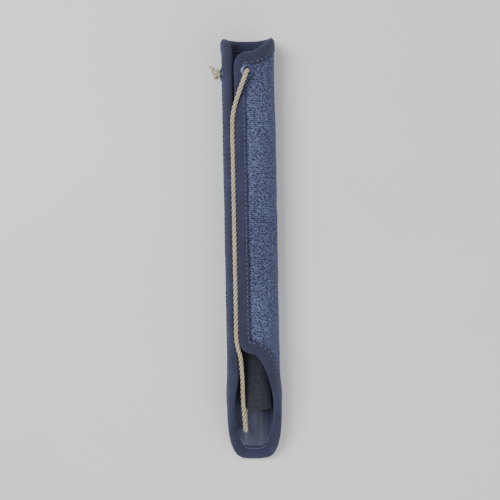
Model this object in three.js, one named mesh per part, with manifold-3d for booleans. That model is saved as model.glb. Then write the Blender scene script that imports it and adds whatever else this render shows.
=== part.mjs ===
// A formed sock aid: a curled plastic trough with a terry cover outside, a slick nylon lining
// inside, bound edges, and two pull cords with foam grips stowed in the trough. One cord lies
// in the groove between the two long edges on its way to the toe.
// Millimetres, +Z up. The trough runs along Y with its toe at -Y, and stands on Z = 0.
import * as THREE from 'three';
import { mergeVertices } from 'three/addons/utils/BufferGeometryUtils.js';
import Module from 'manifold-3d';

// --- Driving dimensions -----------------------------------------------------------------
const LENGTH = 300; // of the sheets; the binding adds to both ends
const OUTER_RADIUS = 19.5;
const COVER_THICK = 2.4;
const CORE_THICK = 1.2;
const LINING_THICK = 0.5;
const GAP = 0.3; // between pieces that touch

// Angles round the section are in degrees, from the top towards the left.
const LEFT_EDGE = 58;
const RIGHT_EDGE = 378;
const FLAT_HALF = 22.5; // half of the angle that the flat underside takes

const TOE_RUN = 88; // how far the toe end is cut back at its highest point
const TOE_LIP = 3; // height of the toe end's lip, which isn't cut back
const TOE_POWER = 1.2;
const HEEL_RUN = 16;
const HEEL_POWER = 1.5;

const BINDING_RADIUS = 2.1;
const BINDING_CLEAR = 0.8; // from the sheets' cut edge to the binding

const EYELET_Y = 128;
const LEFT_EYELET = 75;
const RIGHT_EYELET = 361;
const EYELET_HOLE = 3.3;
const EYELET_FLANGE = 5;
const EYELET_BORE = 2.3;

const CORD_RADIUS = 1.65;
const KNOT_RADIUS = 3.4;
const GRIP_RADIUS = 10.2;
const GRIP_LENGTH = 70;
const GRIP_X = 2.6;
const GRIP_Z = 14.9;
const TOE_GRIP_Y = -81; // middle of each grip
const HEEL_GRIP_Y = 90;
const LINER_RADIUS = 3.6;
const LINER_BORE = 2.2;
const KNOT_RECESS = 10; // depth of the wide bore that hides the knot in the grip's end
const RECESS_RADIUS = 5.8;
const WASHER_RADIUS = 5.4;
const WASHER_THICK = 1.2;

const HANK_Y = 9;
const HANK_Z = 16;
const HANK_STRAIGHT = 54; // straight part of each run
const HANK_BEND = 7.6; // radius of the folds, on the cord's middle
const HANK_LAYERS = 4; // the right cord has the first one, and the left cord the rest
const LAYER_PITCH = 3.35;
const TIE_WIDTH = 8;
const TIE_THICK = 0.6;

const CORD_SIDES = 8;
const ROUND_SIDES = 24;

// --- Derived sizes ----------------------------------------------------------------------
const CORE_OUTER = OUTER_RADIUS - COVER_THICK - GAP;
const LINING_OUTER = CORE_OUTER - CORE_THICK - GAP;
const INNER_RADIUS = LINING_OUTER - LINING_THICK;
const MIDDLE_RADIUS = (OUTER_RADIUS + INNER_RADIUS) / 2;
const FLAT_COSINE = Math.cos(THREE.MathUtils.degToRad(FLAT_HALF));
const CENTRE_Z = OUTER_RADIUS * FLAT_COSINE;
const TOP_Z = CENTRE_Z + OUTER_RADIUS;

const NAVY = 0x2c3158;
const CREAM = 0xcdbf9f;

// --- Materials --------------------------------------------------------------------------
const material = (color, roughness, metalness = 0) =>
  new THREE.MeshStandardMaterial({ color, roughness, metalness });

// --- Solids -----------------------------------------------------------------------------
const wasm = await Module();
wasm.setup();

// A solid for joining and cutting, from a closed geometry.
function solidOf(geometry) {
  const bare = geometry.clone();
  bare.deleteAttribute('normal');
  bare.deleteAttribute('uv');
  const merged = mergeVertices(bare, 1e-4);
  return new wasm.Manifold(
    new wasm.Mesh({
      numProp: 3,
      vertProperties: new Float32Array(merged.attributes.position.array),
      triVerts: new Uint32Array(merged.index.array),
    }),
  );
}

function geometryOf(solid) {
  const mesh = solid.getMesh();
  const geometry = new THREE.BufferGeometry();
  geometry.setAttribute('position', new THREE.BufferAttribute(mesh.vertProperties, 3));
  geometry.setIndex(new THREE.BufferAttribute(mesh.triVerts, 1));
  return geometry;
}

// --- The trough's section and ends ------------------------------------------------------
// The point on the section at a radius and an angle from the top.
function onSection(radius, degrees) {
  const angle = THREE.MathUtils.degToRad(degrees);
  return new THREE.Vector2(-radius * Math.sin(angle), CENTRE_Z + radius * Math.cos(angle));
}

function spread(from, to, steps) {
  return Array.from({ length: steps + 1 }, (_, i) => from + ((to - from) * i) / steps);
}

// Angles from the left edge, down its side, over the flat underside and up to the right edge.
const SECTION_ANGLES = [
  ...spread(LEFT_EDGE, 180 - FLAT_HALF, 9),
  ...spread(180 + FLAT_HALF, RIGHT_EDGE, 20),
];

// The middle of the wall at an angle, which is level over the flat underside.
function wallMiddle(degrees) {
  const { x, y: z } = onSection(MIDDLE_RADIUS, degrees);
  return { x, z: Math.max(z, CENTRE_Z - MIDDLE_RADIUS * FLAT_COSINE) };
}

// Both ends are cut back more the higher the wall is, and square beyond the top, which rounds
// the sheet's corners.
function share(degrees, low) {
  const { z } = wallMiddle(Math.min(degrees, 360));
  return Math.max(0, (z - low) / (TOP_Z - low));
}

const toeY = (degrees) => -LENGTH / 2 + TOE_RUN * share(degrees, TOE_LIP) ** TOE_POWER;
const heelY = (degrees) => LENGTH / 2 - HEEL_RUN * share(degrees, CENTRE_Z) ** HEEL_POWER;

// The angle of a point of the section, which runs on past the top from its right side.
function sectionAngle(x, z) {
  const degrees = THREE.MathUtils.radToDeg(Math.atan2(-x, z - CENTRE_Z));
  return degrees < (LEFT_EDGE + RIGHT_EDGE - 360) / 2 ? degrees + 360 : degrees;
}

// Moves a blank's two square ends to the rounded outline, square to the wall.
function trimEnds(blank) {
  const place = blank.attributes.position;
  for (let i = 0; i < place.count; i += 1) {
    const degrees = sectionAngle(place.getX(i), place.getZ(i));
    place.setY(i, place.getY(i) < 0 ? toeY(degrees) : heelY(degrees));
  }
  return blank;
}

// Turns a geometry whose axis is +Z to point outwards at an angle round the section.
function pointOutwards(geometry, degrees, radius, y) {
  geometry.translate(0, 0, radius);
  geometry.rotateY(-THREE.MathUtils.degToRad(degrees));
  return geometry.translate(0, y, CENTRE_Z);
}

function eyeletHole(degrees) {
  const rod = new THREE.CylinderGeometry(EYELET_HOLE, EYELET_HOLE, 4 * COVER_THICK, ROUND_SIDES);
  return solidOf(pointOutwards(rod.rotateX(Math.PI / 2), degrees, MIDDLE_RADIUS, EYELET_Y));
}

// One curled sheet between two radii, trimmed at its ends and pierced for the eyelets.
function curledSheet(outer, inner) {
  const outline = [
    ...SECTION_ANGLES.map((degrees) => onSection(outer, degrees)),
    ...[...SECTION_ANGLES].reverse().map((degrees) => onSection(inner, degrees)),
  ];
  const blank = new THREE.ExtrudeGeometry(new THREE.Shape(outline), {
    depth: LENGTH,
    bevelEnabled: false,
  });
  blank.rotateX(Math.PI / 2).translate(0, LENGTH / 2, 0);
  return geometryOf(
    solidOf(trimEnds(blank))
      .subtract(eyeletHole(LEFT_EYELET))
      .subtract(eyeletHole(RIGHT_EYELET)),
  );
}

// --- Tubes ------------------------------------------------------------------------------
function roundShape(radius, sides) {
  const corners = spread(0, 2 * Math.PI, sides).slice(0, -1);
  return new THREE.Shape(
    corners.map((a) => new THREE.Vector2(radius * Math.cos(a), radius * Math.sin(a))),
  );
}

function tubeAlong(points, radius, step, sides = CORD_SIDES) {
  const curve = new THREE.CatmullRomCurve3(points.map((p) => new THREE.Vector3(...p)));
  const steps = Math.ceil(curve.getLength() / step);
  return new THREE.ExtrudeGeometry(roundShape(radius, sides), { steps, extrudePath: curve });
}

// --- Edge binding -----------------------------------------------------------------------
const BINDING_OUT = BINDING_RADIUS + BINDING_CLEAR;
const BINDING_ANGLE = THREE.MathUtils.radToDeg(BINDING_OUT / MIDDLE_RADIUS);

function longEdgeBinding(edge, side) {
  const { x, z } = wallMiddle(edge + side * BINDING_ANGLE);
  const clear = 1.3 * BINDING_OUT;
  const ends = [toeY(edge) + clear, heelY(edge) - clear];
  return tubeAlong(spread(...ends, 2).map((y) => [x, y, z]), BINDING_RADIUS, LENGTH / 2);
}

// The binding along a cut end, which stands off the cut by its own radius.
function endBinding(endAt, outwards) {
  const angles = spread(LEFT_EDGE, RIGHT_EDGE, 48);
  const middles = angles.map((degrees) => {
    const { x, z } = wallMiddle(degrees);
    return new THREE.Vector3(x, endAt(degrees), z);
  });
  const points = middles.map((point, i) => {
    const before = middles[Math.max(i - 1, 0)];
    const after = middles[Math.min(i + 1, middles.length - 1)];
    const along = after.clone().sub(before).normalize();
    const radial = new THREE.Vector3(point.x, 0, point.z - CENTRE_Z).normalize();
    const away = along.cross(radial).multiplyScalar(outwards).normalize();
    return point.clone().addScaledVector(away, BINDING_OUT).toArray();
  });
  return tubeAlong(points, BINDING_RADIUS, 4 * BINDING_RADIUS);
}

// --- Eyelets and knots ------------------------------------------------------------------
function latheAlongZ(profile) {
  const points = profile.map(([radius, height]) => new THREE.Vector2(radius, height));
  return new THREE.LatheGeometry(points, ROUND_SIDES).rotateX(Math.PI / 2);
}

// The flange is outside the cover, and the barrel reaches through the wall to the washer.
function eyelet(degrees) {
  const flange = 0.9;
  const barrel = EYELET_HOLE - GAP;
  const inside = -(OUTER_RADIUS - INNER_RADIUS) - 2.4;
  const profile = [
    [EYELET_BORE, inside],
    [barrel, inside],
    [barrel, GAP],
    [EYELET_FLANGE, GAP],
    [EYELET_FLANGE - 0.3, flange],
    [barrel, GAP + flange],
    [EYELET_BORE, flange],
    [EYELET_BORE, inside],
  ];
  return pointOutwards(latheAlongZ(profile), degrees, OUTER_RADIUS, EYELET_Y);
}

function eyeletWasher(degrees) {
  const [low, high] = [0, 0.8];
  const profile = [
    [EYELET_HOLE, low],
    [EYELET_FLANGE - 0.4, low],
    [EYELET_FLANGE - 0.4, high],
    [EYELET_HOLE, high],
    [EYELET_HOLE, low],
  ];
  return pointOutwards(latheAlongZ(profile), degrees, INNER_RADIUS - 1.9, EYELET_Y);
}

// A knot is a squat ball, so that it can't pass what it bears on.
function knot(width) {
  return new THREE.SphereGeometry(KNOT_RADIUS, 12, 8).rotateX(Math.PI / 2).scale(1, 1, width);
}

function anchorKnot(degrees, inside) {
  const flat = 0.8;
  const outsideReach = OUTER_RADIUS + 1.5 + flat * KNOT_RADIUS;
  const insideReach = INNER_RADIUS - 2.7 - flat * KNOT_RADIUS;
  return pointOutwards(knot(flat), degrees, inside ? insideReach : outsideReach, EYELET_Y);
}

// --- Cord routes ------------------------------------------------------------------------
// The right cord leaves its eyelet outwards, lies in the groove between the long edges, loops
// back inside at the toe, and runs beside the toe grip to the hank.
const RIGHT_CORD_RUN = [
  [-0.2, 128, 30.4],
  [-0.3, 128, 34],
  [-0.4, 128, 37.8],
  [-0.6, 127.5, 40.4],
  [-1.2, 126, 42.5],
  [-2.1, 123.8, 43.8],
  [-3.1, 121.4, 43.9],
  [-4.7, 117.5, 42.8],
  [-6.6, 112.7, 40.8],
  [-8.6, 107.4, 38.5],
  [-10.3, 102, 36.4],
  [-11.6, 95, 34.6],
  [-11.9, 86, 33.5],
  [-11.9, 70, 33.35],
  [-11.9, 50, 33.35],
  [-11.9, 30, 33.35],
  [-11.9, 10, 33.35],
  [-11.9, -10, 33.35],
  [-11.9, -30, 33.35],
  [-11.9, -50, 33.35],
  [-11.9, -64, 33.35],
  [-11, -70, 33.2],
  [-9.4, -77, 31.6],
  [-8.7, -86, 29],
  [-8.3, -95, 26.8],
  [-8.2, -104, 24.9],
  [-8, -112, 23],
  [-7.7, -117, 22],
  [-7.3, -122, 21.2],
  [-7, -127.7, 19.9],
  [-6.8, -130.5, 17.9],
  [-6.6, -131.9, 14.8],
  [-6.5, -131.6, 11.4],
  [-6.5, -129.2, 8.3],
  [-6.6, -125.4, 7.1],
  [-6.6, -120, 7.1],
  [-6.6, -108, 7.1],
  [-6.6, -90, 7.1],
  [-6.6, -70, 7.1],
  [-6.6, -50, 7.1],
  [-6, -38, 6.9],
  [-5.2, -27, 6.6],
];
// From the hank through the toe grip to the knot at its toe end.
const RIGHT_CORD_LEAD = [
  [-5, -26, 25.6],
  [-4.2, -31, 24.2],
  [-1.6, -36.5, 20.4],
  [1.2, -41, 16.7],
  [2.4, -44.4, 15.1],
  [2.6, -47, 14.9],
  [2.6, -81, 14.9],
  [2.6, -107.2, 14.9],
];
// The left cord comes inside, and lies along the heel grip's upper side.
const LEFT_CORD_RUN = [
  [-19.9, 128, 23.35],
  [-15.45, 128, 22.15],
  [-12.8, 128, 21.45],
  [-10.9, 128, 20.95],
  [-9, 127.1, 21.4],
  [-7.4, 124.8, 22.5],
  [-6.2, 120.5, 23.8],
  [-5.5, 112, 24.6],
  [-5.5, 100, 24.6],
  [-5.4, 85, 24.6],
  [-5.2, 72, 24.7],
  [-4.2, 60, 25.2],
  [-2.6, 51, 25.6],
  [-1.7, 44, 25.6],
];
// From the hank through the heel grip to the knot at its heel end.
const LEFT_CORD_LEAD = [
  [5, 44, 7.4],
  [4.9, 46.4, 8.2],
  [4.2, 49.6, 11],
  [3.2, 52.4, 13.6],
  [2.6, 55, 14.8],
  [2.6, 90, 14.9],
  [2.6, 116.2, 14.9],
];

function cord(points) {
  return tubeAlong(points, CORD_RADIUS, 4.5 * CORD_RADIUS);
}

// --- Hanks ------------------------------------------------------------------------------
// The outer shape of one cord's folded layers, which stand on edge side by side.
function hank(firstLayer, layers) {
  const reach = HANK_BEND + CORD_RADIUS;
  const half = HANK_STRAIGHT / 2;
  const outline = new THREE.Shape();
  outline.absarc(half, 0, reach, -Math.PI / 2, Math.PI / 2);
  outline.absarc(-half, 0, reach, Math.PI / 2, (3 * Math.PI) / 2);
  const geometry = new THREE.ExtrudeGeometry(outline, {
    depth: layers * LAYER_PITCH - GAP / 2,
    bevelEnabled: false,
    curveSegments: 8,
  });
  const near = (firstLayer - HANK_LAYERS / 2) * LAYER_PITCH + GAP / 4;
  const turned = new THREE.Matrix4().set(0, 0, 1, near, 1, 0, 0, HANK_Y, 0, 1, 0, HANK_Z, 0, 0, 0, 1);
  return geometry.applyMatrix4(turned);
}

function rectangle(halfWidth, halfHeight, corner) {
  const shape = new THREE.Shape();
  shape.absarc(halfWidth - corner, halfHeight - corner, corner, 0, Math.PI / 2);
  shape.absarc(corner - halfWidth, halfHeight - corner, corner, Math.PI / 2, Math.PI);
  shape.absarc(corner - halfWidth, corner - halfHeight, corner, Math.PI, 1.5 * Math.PI);
  shape.absarc(halfWidth - corner, corner - halfHeight, corner, 1.5 * Math.PI, 2 * Math.PI);
  return shape;
}

// The elastic tie that holds both hanks together.
function hankTie() {
  const halfWidth = (HANK_LAYERS / 2) * LAYER_PITCH + GAP;
  const halfHeight = HANK_BEND + CORD_RADIUS + GAP;
  const shape = rectangle(halfWidth + TIE_THICK, halfHeight + TIE_THICK, 2 * TIE_THICK);
  shape.holes.push(rectangle(halfWidth, halfHeight, TIE_THICK / 2));
  const geometry = new THREE.ExtrudeGeometry(shape, {
    depth: TIE_WIDTH,
    bevelEnabled: false,
    curveSegments: 3,
  });
  return geometry.rotateX(Math.PI / 2).translate(0, HANK_Y + TIE_WIDTH / 2, HANK_Z);
}

// --- Grips ------------------------------------------------------------------------------
// Pieces on a grip's axis are made along Z about the grip's middle, then laid along Y.
function onGripAxis(geometry, middleY) {
  return geometry.rotateX(-Math.PI / 2).translate(GRIP_X, middleY, GRIP_Z);
}

function sleeve(outer, bore, length, round) {
  const half = length / 2;
  return latheAlongZ([
    [bore, -half],
    [outer - round, -half],
    [outer, round - half],
    [outer, half - round],
    [outer - round, half],
    [bore, half],
    [bore, -half],
  ]);
}

// The foam tube, with a wide bore for the knot at the end that the cord doesn't come in by.
function foamGrip(middleY, towards) {
  const half = GRIP_LENGTH / 2;
  const round = 1.2;
  const bore = LINER_RADIUS + GAP;
  const geometry = latheAlongZ([
    [bore, -half],
    [GRIP_RADIUS - round, -half],
    [GRIP_RADIUS, round - half],
    [GRIP_RADIUS, half - round],
    [GRIP_RADIUS - round, half],
    [RECESS_RADIUS, half],
    [RECESS_RADIUS, half - KNOT_RECESS],
    [bore, half - KNOT_RECESS],
    [bore, -half],
  ]);
  if (towards < 0) geometry.rotateX(Math.PI);
  return onGripAxis(geometry, middleY);
}

// The liner stops at the bottom of the knot's bore.
function gripLiner(middleY, towards) {
  const middle = middleY - (towards * KNOT_RECESS) / 2;
  return onGripAxis(sleeve(LINER_RADIUS, LINER_BORE, GRIP_LENGTH - KNOT_RECESS, 0.2), middle);
}

// The washer at the bottom of the knot's bore, which the knot pulls against.
function knotWasher(middleY, towards) {
  const depth = KNOT_RECESS - GAP - WASHER_THICK / 2;
  const middle = middleY + towards * (GRIP_LENGTH / 2 - depth);
  return onGripAxis(sleeve(WASHER_RADIUS, LINER_BORE, WASHER_THICK, 0.2), middle);
}

function endKnot(middleY, towards) {
  const depth = KNOT_RECESS - 2 * GAP - WASHER_THICK - KNOT_RADIUS;
  return onGripAxis(knot(1), middleY + towards * (GRIP_LENGTH / 2 - depth));
}

// --- Assembly ---------------------------------------------------------------------------
const model = new THREE.Group();

function add(parent, name, geometry, finish) {
  const mesh = new THREE.Mesh(geometry, finish);
  mesh.name = name;
  parent.add(mesh);
}

function trough() {
  const group = new THREE.Group();
  add(group, 'terry_cover', curledSheet(OUTER_RADIUS, OUTER_RADIUS - COVER_THICK), material(NAVY, 1));
  add(group, 'core_shell', curledSheet(CORE_OUTER, CORE_OUTER - CORE_THICK), material(0xe6e4dc, 0.45));
  add(group, 'nylon_lining', curledSheet(LINING_OUTER, INNER_RADIUS), material(0x4a5a86, 0.35));
  add(group, 'left_edge_binding', longEdgeBinding(LEFT_EDGE, -1), material(NAVY, 0.7));
  add(group, 'right_edge_binding', longEdgeBinding(RIGHT_EDGE, 1), material(NAVY, 0.7));
  add(group, 'toe_binding', endBinding(toeY, -1), material(NAVY, 0.7));
  add(group, 'heel_binding', endBinding(heelY, 1), material(NAVY, 0.7));
  return group;
}

function anchor(side, degrees, knotInside) {
  const group = new THREE.Group();
  add(group, `${side}_eyelet`, eyelet(degrees), material(0x39415f, 0.35, 0.8));
  add(group, `${side}_eyelet_washer`, eyeletWasher(degrees), material(0x39415f, 0.35, 0.8));
  add(group, `${side}_anchor_knot`, anchorKnot(degrees, knotInside), material(CREAM, 0.9));
  return group;
}

// The knot is on the grip's end that faces away from where the cord comes in.
function gripOn(side, middleY, towards) {
  const group = new THREE.Group();
  add(group, `${side}_foam_grip`, foamGrip(middleY, towards), material(0x1c242e, 0.95));
  add(group, `${side}_grip_liner`, gripLiner(middleY, towards), material(0xd8d8d4, 0.4));
  add(group, `${side}_knot_washer`, knotWasher(middleY, towards), material(0x20242c, 0.5));
  add(group, `${side}_end_knot`, endKnot(middleY, towards), material(CREAM, 0.9));
  return group;
}

function cords() {
  const group = new THREE.Group();
  add(group, 'right_cord_run', cord(RIGHT_CORD_RUN), material(CREAM, 0.9));
  add(group, 'right_cord_hank', hank(0, 1), material(CREAM, 0.9));
  add(group, 'right_cord_lead', cord(RIGHT_CORD_LEAD), material(CREAM, 0.9));
  add(group, 'left_cord_run', cord(LEFT_CORD_RUN), material(CREAM, 0.9));
  add(group, 'left_cord_hank', hank(1, 3), material(CREAM, 0.9));
  add(group, 'left_cord_lead', cord(LEFT_CORD_LEAD), material(CREAM, 0.9));
  add(group, 'hank_tie', hankTie(), material(0x1d1f26, 0.8));
  return group;
}

model.add(
  trough(),
  anchor('left', LEFT_EYELET, false),
  anchor('right', RIGHT_EYELET, true),
  cords(),
  gripOn('right', TOE_GRIP_Y, -1),
  gripOn('left', HEEL_GRIP_Y, 1),
);

export default model;
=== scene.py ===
"""Looks for a formed sock aid: a curled trough of terry, plastic and nylon with its two pull
cords, foam grips and stowed spare cord. Lengths are in metres, in the CAD part's frame."""

import math

import bpy
import numpy as np
from mathutils import Matrix


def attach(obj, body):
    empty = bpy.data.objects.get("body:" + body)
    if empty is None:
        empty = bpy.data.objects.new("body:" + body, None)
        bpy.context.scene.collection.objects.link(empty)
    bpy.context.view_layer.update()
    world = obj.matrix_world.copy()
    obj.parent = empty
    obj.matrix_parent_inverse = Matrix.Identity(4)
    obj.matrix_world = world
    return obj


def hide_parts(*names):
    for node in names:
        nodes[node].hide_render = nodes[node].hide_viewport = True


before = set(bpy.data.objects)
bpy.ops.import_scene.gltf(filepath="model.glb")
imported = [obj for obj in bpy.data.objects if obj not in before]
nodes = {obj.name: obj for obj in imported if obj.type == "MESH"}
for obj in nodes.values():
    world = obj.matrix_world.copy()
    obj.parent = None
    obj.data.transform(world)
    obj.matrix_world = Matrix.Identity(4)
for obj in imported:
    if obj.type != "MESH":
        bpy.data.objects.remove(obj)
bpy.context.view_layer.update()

# --- Sizes shared with the CAD part -------------------------------------------------------
LENGTH = 0.300
OUTER_RADIUS = 0.0195
COVER_THICK = 0.0024
LINING_OUTER = 0.0153
LINING_THICK = 0.0005
INNER_RADIUS = LINING_OUTER - LINING_THICK
MIDDLE_RADIUS = (OUTER_RADIUS + INNER_RADIUS) / 2
HALF_WALL = (OUTER_RADIUS - INNER_RADIUS) / 2

# Turns round the section are measured from the top towards the left.
LEFT_EDGE = math.radians(58)
RIGHT_EDGE = math.radians(378)
FLAT_HALF = math.radians(22.5)
FLAT_COSINE = math.cos(FLAT_HALF)
CENTRE_Z = OUTER_RADIUS * FLAT_COSINE
TOP_Z = CENTRE_Z + OUTER_RADIUS

TOE_RUN, TOE_LIP, TOE_POWER = 0.088, 0.003, 1.2
HEEL_RUN, HEEL_POWER = 0.016, 1.5

EYELET_Y = 0.128
LEFT_EYELET = math.radians(75)
RIGHT_EYELET = math.radians(361)

CORD_RADIUS = 0.00165
KNOT_RADIUS = 0.0034
GRIP_RADIUS, GRIP_BORE, GRIP_LENGTH = 0.0102, 0.0039, 0.070
GRIP_X, GRIP_Z = 0.0026, 0.0149
KNOT_RECESS, RECESS_RADIUS = 0.010, 0.0058
WASHER_GAP, WASHER_THICK = 0.0003, 0.0012
TOE_GRIP_Y, HEEL_GRIP_Y = -0.081, 0.090

HANK_Y, HANK_Z = 0.009, 0.016
HANK_STRAIGHT, HANK_BEND = 0.054, 0.0076
HANK_LAYERS, LAYER_PITCH = 4, 0.00335
FOLD_STEPS = 8
TIE_WIDTH, TIE_THICK = 0.008, 0.0006

# The right cord leaves its eyelet outwards, lies in the groove between the long edges, turns
# back under itself at the toe, and runs beside the toe grip to the hank.
RIGHT_CORD_RUN = [
    (-0.00020, 0.12800, 0.03040),
    (-0.00030, 0.12800, 0.03400),
    (-0.00040, 0.12800, 0.03780),
    (-0.00060, 0.12750, 0.04040),
    (-0.00120, 0.12600, 0.04250),
    (-0.00210, 0.12380, 0.04380),
    (-0.00310, 0.12140, 0.04390),
    (-0.00470, 0.11750, 0.04280),
    (-0.00660, 0.11270, 0.04080),
    (-0.00860, 0.10740, 0.03850),
    (-0.01030, 0.10200, 0.03640),
    (-0.01160, 0.09500, 0.03460),
    (-0.01190, 0.08600, 0.03350),
    (-0.01190, 0.07000, 0.03335),
    (-0.01190, 0.05000, 0.03335),
    (-0.01190, 0.03000, 0.03335),
    (-0.01190, 0.01000, 0.03335),
    (-0.01190, -0.01000, 0.03335),
    (-0.01190, -0.03000, 0.03335),
    (-0.01190, -0.05000, 0.03335),
    (-0.01190, -0.06400, 0.03335),
    (-0.01100, -0.07000, 0.03320),
    (-0.00940, -0.07700, 0.03160),
    (-0.00870, -0.08600, 0.02900),
    (-0.00830, -0.09500, 0.02680),
    (-0.00820, -0.10400, 0.02490),
    (-0.00800, -0.11200, 0.02300),
    (-0.00770, -0.11700, 0.02200),
    (-0.00730, -0.12200, 0.02120),
    (-0.00700, -0.12770, 0.01990),
    (-0.00680, -0.13050, 0.01790),
    (-0.00660, -0.13190, 0.01480),
    (-0.00650, -0.13160, 0.01140),
    (-0.00650, -0.12920, 0.00830),
    (-0.00660, -0.12540, 0.00710),
    (-0.00660, -0.12000, 0.00710),
    (-0.00660, -0.10800, 0.00710),
    (-0.00660, -0.09000, 0.00710),
    (-0.00660, -0.07000, 0.00710),
    (-0.00660, -0.05000, 0.00710),
    (-0.00600, -0.03800, 0.00690),
    (-0.00520, -0.02700, 0.00660),
]
# From the hank through the toe grip to the knot at its toe end.
RIGHT_CORD_LEAD = [
    (-0.00500, -0.02600, 0.02560),
    (-0.00420, -0.03100, 0.02420),
    (-0.00160, -0.03650, 0.02040),
    (0.00120, -0.04100, 0.01670),
    (0.00240, -0.04440, 0.01510),
    (0.00260, -0.04700, 0.01490),
    (0.00260, -0.08100, 0.01490),
    (0.00260, -0.10720, 0.01490),
]
# The left cord comes inside, and lies along the heel grip's upper side.
LEFT_CORD_RUN = [
    (-0.01990, 0.12800, 0.02335),
    (-0.01545, 0.12800, 0.02215),
    (-0.01280, 0.12800, 0.02145),
    (-0.01090, 0.12800, 0.02095),
    (-0.00900, 0.12710, 0.02140),
    (-0.00740, 0.12480, 0.02250),
    (-0.00620, 0.12050, 0.02380),
    (-0.00550, 0.11200, 0.02460),
    (-0.00550, 0.10000, 0.02460),
    (-0.00540, 0.08500, 0.02460),
    (-0.00520, 0.07200, 0.02470),
    (-0.00420, 0.06000, 0.02520),
    (-0.00260, 0.05100, 0.02560),
    (-0.00170, 0.04400, 0.02560),
]
# From the hank through the heel grip to the knot at its heel end.
LEFT_CORD_LEAD = [
    (0.00500, 0.04400, 0.00740),
    (0.00490, 0.04640, 0.00820),
    (0.00420, 0.04960, 0.01100),
    (0.00320, 0.05240, 0.01360),
    (0.00260, 0.05500, 0.01480),
    (0.00260, 0.09000, 0.01490),
    (0.00260, 0.11620, 0.01490),
]

# --- Sizes of detail that only shows here --------------------------------------------------
ROPE_LAY = 0.0105  # length in which a strand goes once round
ROPE_STEP = 0.0008
PILE = 0.0009  # height of the terry loops
LOOP_PITCH = (0.0016, 0.0014)  # of the loops, round and along the trough
CLOTH_STEP = 0.00045
TAPE_LEG = 0.0043  # how far the binding reaches in over the sheets
TAPE_OUT = 0.0051  # how far it bulges beyond the cut edge
TAPE_THICK = 0.0005
STITCH_IN = 0.0029  # from the cut edge to the sewn line
STITCH, STITCH_GAP = 0.0024, 0.0009
THREAD_RADIUS = 0.00026
THREAD_SUNK = 0.00034  # how deep a stitch draws the tape in
FOAM_ROUND = 0.0014  # radius of a grip's end edges
FOAM_DENT = 0.00016
KNOT_FLAT = 0.8  # share of its radius that an anchor knot stands from its eyelet
FLANGE_STAND, WASHER_STAND = 0.0015, 0.0027  # from the wall to the anchor knots' near sides
TAIL_START = 0.0014  # from a knot's middle to the cut end of its cord
ANCHOR_TAIL, GRIP_TAIL = 0.006, 0.0034


# --- Meshes ---------------------------------------------------------------------------------
def mesh_object(name, verts, faces):
    mesh = bpy.data.meshes.new(name)
    mesh.from_pydata([tuple(v) for v in verts], [], [tuple(map(int, f)) for f in faces])
    mesh.update()
    mesh.polygons.foreach_set("use_smooth", [True] * len(mesh.polygons))
    obj = bpy.data.objects.new(name, mesh)
    bpy.context.scene.collection.objects.link(obj)
    return obj


def add_attribute(obj, name, values):
    """Stores one number for each vertex, for the material to read."""
    layer = obj.data.attributes.new(name, "FLOAT", "POINT")
    layer.data.foreach_set("value", np.asarray(values, dtype=np.float32).ravel())


def grid_faces(rings, sides, closed_path=False):
    """Quads between consecutive closed rings of vertices."""
    ring = np.arange(rings if closed_path else rings - 1)[:, None]
    side = np.arange(sides)[None, :]
    next_ring = (ring + 1) % rings
    next_side = (side + 1) % sides
    corners = [
        ring * sides + side,
        ring * sides + next_side,
        next_ring * sides + next_side,
        next_ring * sides + side,
    ]
    return np.stack([c.ravel() for c in np.broadcast_arrays(*corners)], axis=1)


def end_caps(rings, sides):
    first = list(range(sides))[::-1]
    last = [(rings - 1) * sides + i for i in range(sides)]
    return [first, last]


def corner_vertices(obj):
    """The vertex at each corner of each face, in order."""
    vertices = np.zeros(len(obj.data.loops), dtype=np.int64)
    obj.data.loops.foreach_get("vertex_index", vertices)
    return vertices


def add_uv(obj, rings, sides, along, across, caps=0):
    """Gives a swept mesh UVs in metres: along the path, and across the ring with its seam cut."""
    layer = obj.data.uv_layers.new(name="sweep")
    quads = len(obj.data.polygons) - caps
    vertices = corner_vertices(obj)
    ring, side = np.divmod(vertices[: 4 * quads], sides)
    corner = np.tile([0, 1, 2, 3], quads)
    wraps_ring = (side == 0) & ((corner == 1) | (corner == 2)) & (len(across) > sides)
    wraps_path = (ring == 0) & (corner >= 2) & (len(along) > rings)
    uv = np.zeros((len(vertices), 2), dtype=np.float32)
    uv[: 4 * quads, 0] = np.asarray(along)[np.where(wraps_path, rings, ring)]
    uv[: 4 * quads, 1] = np.asarray(across)[np.where(wraps_ring, sides, side)]
    layer.data.foreach_set("uv", uv.ravel())


def unit(v):
    return v / np.maximum(np.linalg.norm(v, axis=-1, keepdims=True), 1e-12)


def cumulative(points):
    steps = np.linalg.norm(np.diff(points, axis=0), axis=1)
    return np.concatenate([[0.0], np.cumsum(steps)])


def resample(points, step):
    """The same line with its points evenly spaced."""
    reach = cumulative(points)
    count = max(2, int(round(reach[-1] / step)) + 1)
    where = np.linspace(0, reach[-1], count)
    return np.stack([np.interp(where, reach, points[:, i]) for i in range(3)], axis=1)


def smooth_line(points, step):
    """An evenly spaced line along one centripetal Catmull-Rom spline through the points."""
    p = np.asarray(points, dtype=float)
    t = np.concatenate([[0.0], np.cumsum(np.linalg.norm(np.diff(p, axis=0), axis=1) ** 0.5)])
    slope = np.gradient(p, t, axis=0)
    pieces = []
    for i in range(len(p) - 1):
        h = t[i + 1] - t[i]
        s = np.linspace(0, 1, 24, endpoint=False)[:, None]
        pieces.append(
            (2 * s**3 - 3 * s**2 + 1) * p[i]
            + (s**3 - 2 * s**2 + s) * h * slope[i]
            + (3 * s**2 - 2 * s**3) * p[i + 1]
            + (s**3 - s**2) * h * slope[i + 1]
        )
    pieces.append(p[-1:])
    return resample(np.concatenate(pieces), step)


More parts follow.
